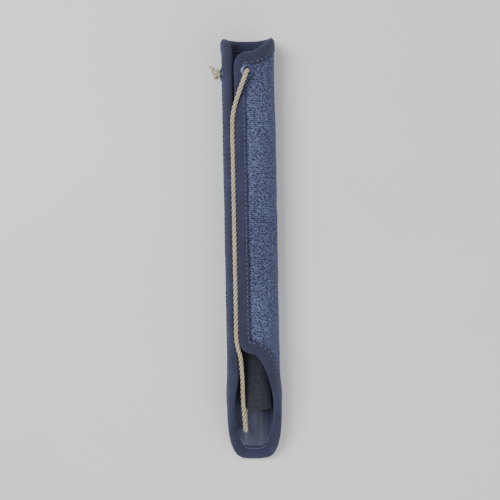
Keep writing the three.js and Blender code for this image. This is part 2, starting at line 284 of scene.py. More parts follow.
def frames_along(line, closed):
    """Two axes across the line at each point, carried along it without twisting."""
    if closed:
        tangent = unit(np.roll(line, -1, axis=0) - np.roll(line, 1, axis=0))
    else:
        tangent = unit(np.gradient(line, axis=0))
    start = np.cross(tangent[0], [0, 0, 1.0])
    if np.linalg.norm(start) < 0.1:
        start = np.cross(tangent[0], [1.0, 0, 0])
    side = [unit(start)]
    for t in tangent[1:]:
        side.append(unit(side[-1] - t * np.dot(side[-1], t)))
    side = np.array(side)
    return side, np.cross(tangent, side)


# --- Rope -----------------------------------------------------------------------------------
ROPE_SIDES = 18


def rope_section(radius):
    """Angle and radius round three laid strands, with rounded grooves between them."""
    turn = np.arange(ROPE_SIDES) * 2 * math.pi / ROPE_SIDES
    offset = (turn + math.pi / 3) % (2 * math.pi / 3) - math.pi / 3
    strand, middle = 0.50 * radius, 0.50 * radius
    across = np.maximum(strand**2 - (middle * np.sin(offset)) ** 2, 0)
    reach = middle * np.cos(offset) + np.sqrt(across)
    return turn, np.maximum(reach, 0.74 * radius)


def rope(name, line, radius, closed=False):
    """A laid rope along a line, with how deep each vertex lies in a groove."""
    side, up = frames_along(line, closed)
    closed_line = np.vstack([line, line[:1]]) if closed else line
    reach = cumulative(closed_line)
    turns = reach[-1] / ROPE_LAY
    lay = reach[-1] / max(1, round(turns)) if closed else ROPE_LAY
    twist = (reach[: len(line)] / lay * 2 * math.pi)[:, None]
    turn, radii = rope_section(radius)
    if closed:
        drift = np.arctan2(np.dot(side[-1], up[0]), np.dot(side[-1], side[0]))
        twist = twist - drift * np.arange(len(line))[:, None] / len(line)
    angle = twist + turn[None, :]
    yarn = 1 + 0.02 * np.sin(7 * angle - 11 * twist)
    spokes = side[:, None] * np.cos(angle)[..., None] + up[:, None] * np.sin(angle)[..., None]
    verts = line[:, None] + spokes * (radii[None, :] * yarn)[..., None]
    faces = list(grid_faces(len(line), ROPE_SIDES, closed_path=closed))
    caps = [] if closed else end_caps(len(line), ROPE_SIDES)
    obj = mesh_object(name, verts.reshape(-1, 3), faces + caps)
    across = np.arange(ROPE_SIDES + 1) * 2 * math.pi * radius / ROPE_SIDES
    add_uv(obj, len(line), ROPE_SIDES, reach, across, caps=len(caps))
    # How deep each vertex lies between the strands; the cord's material darkens its colour by this
    # depth, painted shade in the grooves.
    groove = np.broadcast_to(1 - (radii / radius - 0.74) / 0.26, (len(line), ROPE_SIDES))
    add_attribute(obj, "groove", groove)
    return obj


def half_fold(x_from, x_to, y, towards):
    """Points round the fold at one end of the hank, from the run it leaves to the next one."""
    points = []
    for i in range(1, FOLD_STEPS):
        share = i / FOLD_STEPS
        turn = math.pi * share
        rise = math.cos(turn) if towards < 0 else -math.cos(turn)
        x = x_from + (x_to - x_from) * (0.5 - 0.5 * math.cos(turn))
        points.append((x, y + towards * HANK_BEND * math.sin(turn), HANK_Z + HANK_BEND * rise))
    return points


def hank_points(first_layer, runs, starts_on_top):
    """The folded runs of one cord, two to a layer. Runs on top go to the toe, the others back."""
    toe_end, heel_end = HANK_Y - HANK_STRAIGHT / 2, HANK_Y + HANK_STRAIGHT / 2
    points = []
    for run in range(runs):
        layer, following = first_layer + run // 2, first_layer + (run + 1) // 2
        x, next_x = [(i + 0.5 - HANK_LAYERS / 2) * LAYER_PITCH for i in (layer, following)]
        on_top = (run % 2 == 0) == starts_on_top
        z = HANK_Z + (HANK_BEND if on_top else -HANK_BEND)
        ends = (heel_end, toe_end) if on_top else (toe_end, heel_end)
        points += [(x, y, z) for y in np.linspace(*ends, 5)]
        if run < runs - 1:
            points += half_fold(x, next_x, ends[1], -1 if on_top else 1)
    return points


def pull_cord(side, run, hank, lead):
    """One whole pull cord, from its anchor knot through the hank to the knot on its grip."""
    line = smooth_line([*run, *hank, *lead], ROPE_STEP)
    obj = rope(f"{side}_pull_cord", line, CORD_RADIUS)
    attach(obj, "trough")
    nodes = [f"{side}_cord_{part}" for part in ("run", "hank", "lead")]
    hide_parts(*nodes)
    return obj, line


def outwards(turn, reach):
    """The point at a radius and a turn round the section, level with the eyelets."""
    return np.array([-reach * math.sin(turn), EYELET_Y, CENTRE_Z + reach * math.cos(turn)])


def aligned(axis):
    """Two directions square to an axis, and the axis."""
    axis = unit(np.asarray(axis, dtype=float))
    first = unit(np.cross(axis, [0.31, 0.22, 0.93]))
    return np.stack([first, np.cross(axis, first), axis])


def overhand_knot(name, centre, axis, node):
    """A tight overhand knot, the curve of a trefoil, lying square to the cord."""
    t = np.linspace(0, 2 * math.pi, 400, endpoint=False)
    size = 0.00098
    flat = np.stack([np.sin(t) + 2 * np.sin(2 * t), np.cos(t) - 2 * np.cos(2 * t)], axis=1)
    local = np.column_stack([flat * size, -1.35 * size * np.sin(3 * t)])
    line = np.asarray(centre) + local @ aligned(axis)
    line = resample(np.vstack([line, line[:1]]), 0.0006)[:-1]
    obj = rope(name, line, 0.88 * CORD_RADIUS, closed=True)
    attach(obj, "trough")
    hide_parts(node)
    return obj


def cord_tail(name, start, direction, length, bend):
    """The cut end of a cord beyond its knot, opened out a little."""
    start, direction = np.asarray(start), unit(np.asarray(direction, dtype=float))
    share = np.linspace(0, 1, 5)[:, None]
    points = start + direction * length * share + np.asarray(bend) * share**2
    line = smooth_line(points, 0.0005)
    obj = rope(name, line, 0.95 * CORD_RADIUS)
    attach(obj, "trough")
    return obj


def anchor_knot(side, turn, reach, away):
    """The knot and the cut end of a cord at its eyelet, outside the wall or inside it."""
    centre = outwards(turn, reach)
    direction = away * (outwards(turn, 1.0) - outwards(turn, 0.0))
    name, node = f"{side}_anchor_overhand", f"{side}_anchor_knot"
    knot = overhand_knot(name, centre, direction, node)
    lean = direction * 0.5 + np.array([0.1, 0.9, 0.1])
    start = centre + direction * TAIL_START
    tail = cord_tail(f"{side}_anchor_tail", start, lean, ANCHOR_TAIL, (0, 0, -0.001))
    return knot, tail


def grip_knot(side, middle_y, towards):
    """The knot and the cut end of a cord in the wide bore of its grip."""
    depth = KNOT_RECESS - 2 * WASHER_GAP - WASHER_THICK - KNOT_RADIUS
    centre = np.array([GRIP_X, middle_y + towards * (GRIP_LENGTH / 2 - depth), GRIP_Z])
    along = np.array([0.0, towards, 0.0])
    knot = overhand_knot(f"{side}_grip_overhand", centre, along, f"{side}_end_knot")
    lean = along + np.array([0.15, 0, -0.1])
    start = centre + along * TAIL_START
    tail = cord_tail(f"{side}_grip_tail", start, lean, GRIP_TAIL, (0.0004, 0, -0.0006))
    return knot, tail


# --- The trough's wall ----------------------------------------------------------------------
def section_table():
    """How far out the wall is at each turn: 1 on the round part, less over the flat underside."""
    turn = np.radians(np.arange(0, 400, 0.5))
    reach = np.minimum(1, FLAT_COSINE / np.maximum(-np.cos(turn), 1e-6))
    reach = np.where(np.cos(turn) < 0, reach, 1)
    weights = np.exp(-0.5 * (np.arange(-16, 17) * 0.5 / 3) ** 2)
    padded = np.concatenate([reach[-17:-1], reach, reach[1:17]])
    return turn, np.convolve(padded, weights / weights.sum(), mode="valid")


SECTION_TURN, SECTION_REACH = section_table()


def on_wall(turn, radius):
    """x and z of the wall at a turn and a radius."""
    reach = radius * np.interp(turn, SECTION_TURN, SECTION_REACH)
    return -reach * np.sin(turn), CENTRE_Z + reach * np.cos(turn)


def developed_wall():
    """Turns round the section, and how far along the flattened wall each one is."""
    turn = np.linspace(LEFT_EDGE, RIGHT_EDGE, 800)
    x, z = on_wall(turn, MIDDLE_RADIUS)
    return turn, cumulative(np.column_stack([x, z]))


WALL_TURN, WALL_REACH = developed_wall()
WALL_WIDTH = WALL_REACH[-1]


def toe_y(turn):
    z = on_wall(np.minimum(turn, 2 * math.pi), MIDDLE_RADIUS)[1]
    return -LENGTH / 2 + TOE_RUN * (np.maximum(z - TOE_LIP, 0) / (TOP_Z - TOE_LIP)) ** TOE_POWER


def heel_y(turn):
    z = on_wall(np.minimum(turn, 2 * math.pi), MIDDLE_RADIUS)[1]
    share = np.maximum(z - CENTRE_Z, 0) / (TOP_Z - CENTRE_Z)
    return LENGTH / 2 - HEEL_RUN * share**HEEL_POWER


def hashed(*grids):
    """A number from 0 to 1 that looks random but is the same for the same whole numbers."""
    mixed = sum(g * k for g, k in zip(grids, (12.9898, 78.233, 37.719)))
    return np.mod(np.sin(mixed) * 43758.5453, 1.0)


def smoothed(share):
    """A share from 0 to 1 that starts and ends level."""
    return share * share * (3 - 2 * share)


def value_noise(x, y, seed=0):
    """Smooth noise from -1 to 1, with features about one unit across."""
    x0, y0 = np.floor(x), np.floor(y)
    fx, fy = smoothed(x - x0), smoothed(y - y0)

    def corner(i, j):
        return hashed(x0 + i, y0 + j, np.full_like(x0, seed))

    low = corner(0, 0) * (1 - fx) + corner(1, 0) * fx
    high = corner(0, 1) * (1 - fx) + corner(1, 1) * fx
    return 2 * (low * (1 - fy) + high * fy) - 1


def loop_height(across, along):
    """Height from 0 to 1 of a pile of terry loops in staggered rows."""
    row = np.floor(along / LOOP_PITCH[1])
    height = np.zeros_like(across)
    for d_row in (-1, 0, 1):
        r = row + d_row
        shifted = across / LOOP_PITCH[0] + 0.5 * np.mod(r, 2)
        column = np.floor(shifted)
        for d_column in (-1, 0, 1):
            c = column + d_column
            x = (c + 0.5 + 0.5 * (hashed(c, r) - 0.5)) - shifted
            y = (r + 0.5 + 0.5 * (hashed(r, c) - 0.5)) - along / LOOP_PITCH[1]
            lean = 3.1 * hashed(c, r, r + 7)
            x, y = x * np.cos(lean) + y * np.sin(lean), y * np.cos(lean) - x * np.sin(lean)
            bump = np.sqrt(np.maximum(1 - (x / 0.72) ** 2 - (y / 0.46) ** 2, 0))
            height = np.maximum(height, bump * (0.65 + 0.35 * hashed(c + 3, r)))
    return height


def curled_cloth(name, outer, inner, steps, across_outer, across_inner):
    """A closed sheet of cloth round the section. outer and inner give the radius at each
    (across, along) of the flattened cloth; steps is the number of rings along it."""
    turn = np.concatenate(
        [
            np.linspace(LEFT_EDGE, RIGHT_EDGE, across_outer),
            np.linspace(RIGHT_EDGE, LEFT_EDGE, across_inner),
        ]
    )
    share = np.linspace(0, 1, steps)[:, None]
    y = toe_y(turn)[None, :] + (heel_y(turn) - toe_y(turn))[None, :] * share
    across = np.broadcast_to(np.interp(turn, WALL_TURN, WALL_REACH), y.shape)
    radius = np.empty_like(y)
    out, inn = slice(0, across_outer), slice(across_outer, None)
    radius[:, out] = outer(across[:, out], y[:, out])
    radius[:, inn] = inner(across[:, inn], y[:, inn])
    x, z = on_wall(np.broadcast_to(turn, y.shape), radius)
    sides = len(turn)
    faces = list(grid_faces(steps, sides)) + end_caps(steps, sides)
    obj = mesh_object(name, np.stack([x, y, z], axis=-1).reshape(-1, 3), faces)
    layer = obj.data.uv_layers.new(name="sweep")
    flat = np.stack([y.ravel(), across.ravel()], axis=1)[corner_vertices(obj)]
    layer.data.foreach_set("uv", flat.astype(np.float32).ravel())
    return obj, across, y


def edge_distance(across, along):
    """How far a point of the flattened cloth is from the nearest long edge or end."""
    turn = np.interp(across, WALL_REACH, WALL_TURN)
    sides = np.minimum(across, WALL_WIDTH - across)
    ends = np.minimum(along - toe_y(turn), heel_y(turn) - along)
    return np.minimum(sides, ends)


def terry_cover():
    """The outer sheet of looped pile, crushed where the trough stands on it."""
    base = OUTER_RADIUS - PILE

    def pile(across, along):
        turn = np.interp(across, WALL_REACH, WALL_TURN)
        resting = np.clip(1.25 - np.abs(turn - math.pi) / FLAT_HALF, 0, 1)
        pressed = np.clip(edge_distance(across, along) / 0.006 - 0.35, 0.15, 1)
        loops = loop_height(across, along) * (1 - 0.55 * resting) * pressed
        ease = 0.00022 * value_noise(across / 0.012, along / 0.03, seed=5) * (1 - resting)
        return base + PILE * loops * (1 + 0.2 * value_noise(across / 0.008, along / 0.008)) + ease

    def backing(across, along):
        return np.full_like(along, OUTER_RADIUS - COVER_THICK)

    steps = int(LENGTH / CLOTH_STEP)
    columns = int(WALL_WIDTH * 1.1 / CLOTH_STEP)
    obj, across, y = curled_cloth("terry_sheet", pile, backing, steps, columns, 40)
    # The loop height also sets the colour in the material: painted shade between the loops,
    # painted highlight on their tips.
    add_attribute(obj, "pile", loop_height(across, y))
    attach(obj, "trough")
    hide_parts("terry_cover")
    return obj


def nylon_sheet():
    """The slick lining, flat under the tape, puckered beside it and softly creased elsewhere."""

    def puckers(across, along):
        inset = edge_distance(across, along)
        near = np.exp(-((inset / 0.011) ** 2))
        free = np.clip((inset - TAPE_LEG) / 0.003, 0, 1)
        wave = value_noise(across / 0.0045, along / 0.0045, seed=2)
        creases = value_noise(across / 0.007, along / 0.06, seed=9)
        height = 0.00028 * near * (1 + wave) + 0.00022 * (1 + creases) * (1 - near)
        return INNER_RADIUS - free * height

    def back(across, along):
        return np.full_like(along, LINING_OUTER)

    obj, _, _ = curled_cloth("nylon_sheet", back, puckers, 330, 40, 130)
    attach(obj, "trough")
    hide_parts("nylon_lining")
    return obj


# --- Edge binding ---------------------------------------------------------------------------
def blurred(values, count):
    """Each row averaged with its neighbours round a closed line."""
    weights = np.exp(-0.5 * (np.arange(-3 * count, 3 * count + 1) / count) ** 2)
    weights /= weights.sum()
    wrapped = np.concatenate([values[-3 * count :], values, values[: 3 * count]])
    columns = [np.convolve(wrapped[:, i], weights, mode="valid") for i in range(values.shape[1])]
    return np.stack(columns, axis=1)


def perimeter():
    """The cut edge of the flattened sheets as a closed line with rounded corners, and the
    direction across it, away from the cloth."""
    turn = np.linspace(LEFT_EDGE, RIGHT_EDGE, 600)
    across = np.interp(turn, WALL_TURN, WALL_REACH)
    toe = np.column_stack([across, toe_y(turn)])
    heel = np.column_stack([across, heel_y(turn)])[::-1]
    corner_line = np.vstack([toe, heel, toe[:1]])
    line = resample(np.column_stack([corner_line, np.zeros(len(corner_line))]), 0.0008)[:-1]
    line = blurred(line, 4)[:, :2]
    tangent = unit(np.roll(line, -1, axis=0) - np.roll(line, 1, axis=0))
    away = np.column_stack([tangent[:, 1], -tangent[:, 0]])
    return line, away


def edge_frames():
    """For each point of the perimeter: its place at mid-wall, the direction away from the cloth,
    the direction square to the wall, and how far round it is."""
    flat, away = perimeter()
    turn = np.interp(flat[:, 0], WALL_REACH, WALL_TURN)
    x, z = on_wall(turn, MIDDLE_RADIUS)
    place = np.column_stack([x, flat[:, 1], z])
    radial = np.column_stack([-np.sin(turn), np.zeros_like(turn), np.cos(turn)])
    ahead, behind = on_wall(turn + 0.01, MIDDLE_RADIUS), on_wall(turn - 0.01, MIDDLE_RADIUS)
    round_wall = unit(
        np.column_stack([ahead[0] - behind[0], np.zeros_like(turn), ahead[1] - behind[1]])
    )
    out = away[:, :1] * round_wall + away[:, 1:] * np.array([[0, 1.0, 0]])
    normal = unit(radial - out * np.sum(radial * out, axis=1, keepdims=True))
    normal = unit(blurred(normal, 3))
    reach = cumulative(np.vstack([place, place[:1]]))
    return place, unit(out), normal, reach


def tape_profile():
    """The folded tape's section: distances away from the cut edge and square to the wall."""
    face = HALF_WALL + TAPE_THICK
    bulge = np.linspace(math.pi / 2, -math.pi / 2, 17)
    outside = [(-d, face) for d in np.linspace(TAPE_LEG, 0.0004, 9)]
    fold = [(TAPE_OUT * math.cos(a), face * math.sin(a)) for a in bulge]
    inside = [(-d, -face) for d in np.linspace(0.0004, TAPE_LEG, 9)]
    skin = np.array(outside + fold + inside)
    sunk = THREAD_SUNK * np.exp(-(((skin[:, 0] + STITCH_IN) / 0.0006) ** 2))
    skin[:, 1] -= np.sign(skin[:, 1]) * sunk
    inner = skin.copy()
    inner[:, 0] = np.where(inner[:, 0] > 0, inner[:, 0] - TAPE_THICK, inner[:, 0])
    inner[:, 1] -= np.sign(inner[:, 1]) * TAPE_THICK
    return skin, inner


def edge_binding():
    """One tape folded over the whole edge, eased and gathered a little as sewn tape is."""
    place, out, normal, reach = edge_frames()
    skin, inner = tape_profile()
    profile = np.vstack([skin, inner[::-1]])
    along = reach[: len(place), None]
    gather = 1 + 0.03 * value_noise(along / 0.005, along * 0, seed=3)
    leg = 1 + 0.06 * value_noise(along / 0.018, along * 0, seed=8)
    puff = 1 + 0.018 * value_noise(along / 0.004, along * 0, seed=6)
    away = profile[None, :, 0]
    away = np.where(away > 0, away * gather, away * leg)
    square = profile[None, :, 1] * puff
    verts = place[:, None] + away[..., None] * out[:, None] + square[..., None] * normal[:, None]
    verts[..., 2] = np.maximum(verts[..., 2], 0.00005)
    faces = grid_faces(len(place), len(profile), closed_path=True)
    obj = mesh_object("edge_binding_tape", verts.reshape(-1, 3), faces)
    across = cumulative(np.vstack([profile, profile[:1]]))
    add_uv(obj, len(place), len(profile), reach, across)
    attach(obj, "trough")
    edges = ("left_edge_binding", "right_edge_binding", "toe_binding", "heel_binding")
    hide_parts(*edges)
    return obj


def stitch_rings(middle, along, across, up):
    """Vertices of one stitch: a short thread that dips into the cloth at both ends."""
    rings = []
    for share in np.linspace(-0.5, 0.5, 7):
        rise = THREAD_RADIUS * (1.1 - 7.5 * share**2)
        thick = THREAD_RADIUS * (1 - 0.9 * abs(2 * share) ** 4)
        centre = middle + along * share * STITCH + up * rise
        for turn in np.arange(6) * math.pi / 3:
            rings.append(centre + across * thick * math.cos(turn) + up * thick * math.sin(turn))
    return rings


def binding_stitches():
    """The row of lockstitch through the tape, seen on both faces."""
    place, out, normal, reach = edge_frames()
    count = int(reach[-1] / (STITCH + STITCH_GAP))
    verts, faces = [], []
    pattern = list(grid_faces(7, 6))
    for i in range(count):
        at = reach[-1] * (i + 0.5) / count
        index = min(int(np.searchsorted(reach, at)), len(place) - 1)
        along = unit(place[(index + 2) % len(place)] - place[index - 2])
        for face in (1, -1):
            up = normal[index] * face
            surface = HALF_WALL + TAPE_THICK - 0.00030
            middle = place[index] - out[index] * STITCH_IN + up * surface
            start = len(verts)
            verts += stitch_rings(middle, along, out[index], up)
            faces += [quad + start for quad in pattern]
    verts = np.array(verts)
    verts[:, 2] = np.maximum(verts[:, 2], 0.00002)
    obj = mesh_object("binding_stitches", verts, faces)
    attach(obj, "trough")
    return obj


# --- Grips and tie --------------------------------------------------------------------------
def grip_profile():
    """Radius and distance from the cord's end of the tube, round its section: the outside, then
    the knot's wide bore and the narrow bore."""
    turns = np.linspace(math.pi / 2, 0, 6)
    corner = [
        (GRIP_RADIUS - FOAM_ROUND * (1 - math.cos(a)), FOAM_ROUND * (1 - math.sin(a)))
        for a in turns
    ]
    lengths = np.linspace(FOAM_ROUND, GRIP_LENGTH - FOAM_ROUND, 60)[1:-1]
    start = [(GRIP_BORE + 0.0004, 0.0), (0.0070, 0.0), *corner]
    side = [(GRIP_RADIUS, d) for d in lengths]
    far_end = [(r, GRIP_LENGTH - d) for r, d in corner[::-1]]
    floor, lip = GRIP_LENGTH - KNOT_RECESS, FOAM_ROUND / 2
    mouth = [(RECESS_RADIUS + lip, GRIP_LENGTH), (RECESS_RADIUS, GRIP_LENGTH - lip)]
    bores = [(RECESS_RADIUS, floor), (GRIP_BORE, floor), (GRIP_BORE, 0.0005)]
    return np.array(start + side + far_end + mouth + bores)


def foam_grip(side, middle_y, towards):
    """A cut length of foam tube: soft end edges and slight dents from handling."""
    profile = grip_profile()
    sides = 64
    turn = np.arange(sides) * 2 * math.pi / sides
    radius = profile[:, 0][:, None] * np.ones(sides)
    along = towards * (profile[:, 1] - GRIP_LENGTH / 2)[:, None] * np.ones(sides)
    outer = np.clip((radius - 0.0075) / 0.002, 0, 1)
    around = (turn / (2 * math.pi) * 12)[None, :] * np.ones_like(radius)
    dents = value_noise(np.mod(around, 12), along / 0.007, seed=4 + len(side))
    dents = dents * np.clip(6 - np.abs(around - 6), 0, 1)
    radius = radius - outer * FOAM_DENT * (1 + dents)
    verts = np.stack(
        [GRIP_X + radius * np.cos(turn), middle_y + along, GRIP_Z + radius * np.sin(turn)], axis=-1
    )
    faces = grid_faces(len(profile), sides, closed_path=True)[:, ::-towards]
    obj = mesh_object(f"{side}_foam_tube", verts.reshape(-1, 3), faces)
    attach(obj, f"{side}_grip")
    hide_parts(f"{side}_foam_grip")
    return obj


def tie_path(half_width, half_height, corner):
    """A closed rounded rectangle across the trough, as points and outward directions."""
    points, away = [], []
    corners = [(1, 1, 0), (-1, 1, 90), (-1, -1, 180), (1, -1, 270)]
    for sign_x, sign_z, start in corners:
        middle_x = sign_x * (half_width - corner)
        middle_z = sign_z * (half_height - corner)
        for turn in np.radians(np.linspace(start, start + 90, 7)):
            out_x, out_z = math.cos(turn), math.sin(turn)
            points.append((middle_x + corner * out_x, 0, middle_z + corner * out_z))
            away.append((out_x, 0, out_z))
    return np.array(points), np.array(away)


def hank_tie():
    """A flat woven elastic round both hanks, drawn in a little between the strands."""
    half_width = HANK_LAYERS / 2 * LAYER_PITCH + 0.0003
    half_height = HANK_BEND + CORD_RADIUS + 0.0003
    corners, away = tie_path(half_width, half_height, 0.0014)
    closed = np.vstack([corners, corners[:1]])
    line = resample(closed, 0.0007)[:-1]
    share = cumulative(closed)
    where = np.linspace(0, share[-1], len(line), endpoint=False)
    directions = np.vstack([away, away[:1]])
    out = unit(np.column_stack([np.interp(where, share, directions[:, i]) for i in range(3)]))
    ribs = np.linspace(-TIE_WIDTH / 2, TIE_WIDTH / 2, 41)
    crown = 0.00012 * np.abs(np.sin(ribs / TIE_WIDTH * 8 * math.pi))
    top = np.column_stack([ribs, TIE_THICK - 0.00012 + crown])
    bottom = np.column_stack([ribs[::-4], np.zeros(len(ribs[::-4]))])
    section = np.vstack([top, bottom])
    wave = 0.00007 * np.sin(where / 0.0011 * 2 * math.pi)[:, None] * (section[:, 1] > 0)[None, :]
    verts = (
        line[:, None]
        + out[:, None] * (section[None, :, 1] + wave)[..., None]
        + np.array([0, 1.0, 0]) * section[None, :, 0][..., None]
    )
    verts = verts + np.array([0, HANK_Y, HANK_Z])
    faces = grid_faces(len(line), len(section), closed_path=True)
    obj = mesh_object("hank_elastic", verts.reshape(-1, 3), faces)
    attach(obj, "trough")
    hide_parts("hank_tie")
    return obj


# --- Materials ------------------------------------------------------------------------------
def srgb(red, green, blue):
    """A shader colour from screen values of 0 to 255."""
    linear = [((c / 255 + 0.055) / 1.055) ** 2.4 for c in (red, green, blue)]
    return (*linear, 1.0)


class Surface:
    """A material being made: its node tree, its Principled shader and short ways to add nodes."""

    def __init__(self, name, **constants):
        self.material = bpy.data.materials.new(name)
        self.material.use_nodes = True
        self.tree = self.material.node_tree
        self.shader = self.tree.nodes["Principled BSDF"]
        for socket, value in constants.items():
            self.shader.inputs[socket.replace("_", " ")].default_value = value

    def node(self, kind, links=None, values=None, **settings):
        made = self.tree.nodes.new(kind)
        for key, value in settings.items():
            setattr(made, key, value)
        for socket, source in (links or {}).items():
            self.tree.links.new(source, made.inputs[socket])
        for socket, value in (values or {}).items():
            made.inputs[socket].default_value = value
        return made

    def link(self, source, socket):
        self.tree.links.new(source, self.shader.inputs[socket])

    def place(self):
        return self.node("ShaderNodeTexCoord").outputs["Object"]

    def sweep(self):
        uv = self.node("ShaderNodeUVMap", uv_map="sweep").outputs["UV"]
        return self.node("ShaderNodeSeparateXYZ", {"Vector": uv}).outputs

    def stretched(self, source, scale):
        return self.node("ShaderNodeMapping", {"Vector": source}, {"Scale": scale}).outputs[0]

    def noise(self, source, scale, detail=3.0):
        values = {"Scale": scale, "Detail": detail}
        return self.node("ShaderNodeTexNoise", {"Vector": source}, values).outputs["Fac"]

    def cells(self, source, scale):
        values = {"Scale": scale}
        return self.node("ShaderNodeTexVoronoi", {"Vector": source}, values).outputs["Distance"]

    def math(self, operation, first, second):
        made = self.node("ShaderNodeMath", operation=operation)
        for socket, value in zip(made.inputs, (first, second)):
            if isinstance(value, (int, float)):
                socket.default_value = value
            else:
                self.tree.links.new(value, socket)
        return made.outputs[0]

    def bands(self, source, period):
        """A wave from 0 to 1 along a coordinate."""
        wave = self.math("SINE", self.math("MULTIPLY", source, 2 * math.pi / period), 0.0)
        return self.math("MULTIPLY", self.math("ADD", wave, 1.0), 0.5)

    def ramp(self, source, *stops):
        made = self.node("ShaderNodeValToRGB", {"Fac": source})
        elements = made.color_ramp.elements
        while len(elements) < len(stops):
            elements.new(0.5)
        for element, (position, colour) in zip(elements, stops):
            element.position = position
            element.color = colour
        return made.outputs["Color"]

    def levels(self, source, low, high):
        """The source, which runs from 0 to 1, as a number from low to high."""
        return self.math("ADD", self.math("MULTIPLY", source, high - low), low)

    def mixed(self, blend, factor, first, second):
        made = self.node("ShaderNodeMix", data_type="RGBA", blend_type=blend)
        colours = [s for s in made.inputs if s.type == "RGBA"]
        for socket, value in zip([made.inputs[0], *colours], (factor, first, second)):
            if isinstance(value, (int, float, tuple)):
                socket.default_value = value
            else:
                self.tree.links.new(value, socket)
        return [s for s in made.outputs if s.type == "RGBA"][0]

    def bump(self, height, strength, distance, before=None):
        links = {"Height": height}
        if before is not None:
            links["Normal"] = before
        values = {"Strength": strength, "Distance": distance}
        return self.node("ShaderNodeBump", links, values).outputs["Normal"]


def terry_material():
    surface = Surface(
        "terry_pile",
        Roughness=1.0,
        Sheen_Weight=0.35,
        Sheen_Roughness=0.5,
        Sheen_Tint=srgb(150, 156, 205),
    )
    place = surface.place()
    pile = surface.node("ShaderNodeAttribute", attribute_name="pile").outputs["Fac"]
    pile = surface.math("ADD", pile, surface.levels(surface.noise(place, 1500), -0.22, 0.22))
    # Colour follows the loop height: darker down between the loops and lighter on the loop tips
    # (painted shade and painted highlight), with random tone from the noise.
    colour = surface.ramp(
        pile,
        (0.0, srgb(32, 36, 54)),
        (0.45, srgb(66, 73, 104)),
        (1.0, srgb(112, 121, 154)),
    )
    worn = surface.ramp(
        surface.noise(place, 42), (0.3, srgb(215, 215, 220)), (0.75, srgb(255, 255, 255))
    )
    surface.link(surface.mixed("MULTIPLY", 1.0, colour, worn), "Base Color")
    fibres = surface.bump(surface.noise(place, 3200, 4.0), 0.7, 0.0003)
    surface.link(surface.bump(surface.noise(place, 1100), 0.4, 0.0004, fibres), "Normal")
    return surface.material


def nylon_material():
    surface = Surface(
        "nylon_taffeta",
        Sheen_Weight=0.2,
        Sheen_Roughness=0.35,
        Sheen_Tint=srgb(190, 200, 235),
        Specular_IOR_Level=0.6,
    )
    place, (along, across, _) = surface.place(), surface.sweep()
    streaks = surface.noise(surface.stretched(place, (420.0, 26.0, 420.0)), 1.0)
    base = surface.ramp(streaks, (0.3, srgb(48, 53, 76)), (0.7, srgb(68, 75, 101)))
    threads = surface.math(
        "MULTIPLY", surface.bands(along, 0.00055), surface.bands(across, 0.00055)
    )
    woven = surface.ramp(threads, (0.0, srgb(226, 226, 232)), (0.6, srgb(255, 255, 255)))
    soiled = surface.ramp(
        surface.noise(place, 55), (0.35, srgb(222, 222, 222)), (0.7, srgb(255, 255, 255))
    )
    colour = surface.mixed("MULTIPLY", 1.0, base, woven)
    surface.link(surface.mixed("MULTIPLY", 1.0, colour, soiled), "Base Color")
    surface.link(surface.levels(surface.noise(place, 130), 0.3, 0.52), "Roughness")
    weave = surface.bump(threads, 0.35, 0.00008)
    surface.link(surface.bump(surface.noise(place, 240), 0.3, 0.0005, weave), "Normal")
    return surface.material


def tape_material():
    surface = Surface(
        "twill_tape",
        Sheen_Weight=0.3,
        Sheen_Roughness=0.4,
        Sheen_Tint=srgb(160, 165, 210),
    )
    place, (along, across, _) = surface.place(), surface.sweep()
    diagonal = surface.bands(surface.math("ADD", along, across), 0.00085)
    cross = surface.bands(surface.math("SUBTRACT", along, across), 0.00048)
    diagonal = surface.math("MULTIPLY", diagonal, 0.7)
    cross = surface.math("MULTIPLY", cross, 0.3)
    twill = surface.math("ADD", diagonal, cross)
    base = surface.ramp(twill, (0.0, srgb(24, 26, 48)), (1.0, srgb(56, 60, 94)))
    rubbed = surface.ramp(
        surface.noise(place, 70), (0.35, srgb(205, 205, 212)), (0.7, srgb(255, 255, 255))
    )
    surface.link(surface.mixed("MULTIPLY", 1.0, base, rubbed), "Base Color")
    surface.link(surface.levels(surface.noise(place, 300), 0.68, 0.9), "Roughness")
    weave = surface.bump(twill, 0.8, 0.00022)
    surface.link(surface.bump(surface.noise(place, 2400), 0.4, 0.0002, weave), "Normal")
    return surface.material


def thread_material():
    surface = Surface("sewing_thread", Sheen_Weight=0.25)
    place = surface.place()
    twist = surface.noise(place, 4200)
    colour = surface.ramp(twist, (0.3, srgb(62, 67, 98)), (0.7, srgb(104, 111, 148)))
    surface.link(colour, "Base Color")
    surface.link(surface.levels(twist, 0.45, 0.7), "Roughness")
    surface.link(surface.bump(twist, 0.5, 0.0001), "Normal")
    return surface.material


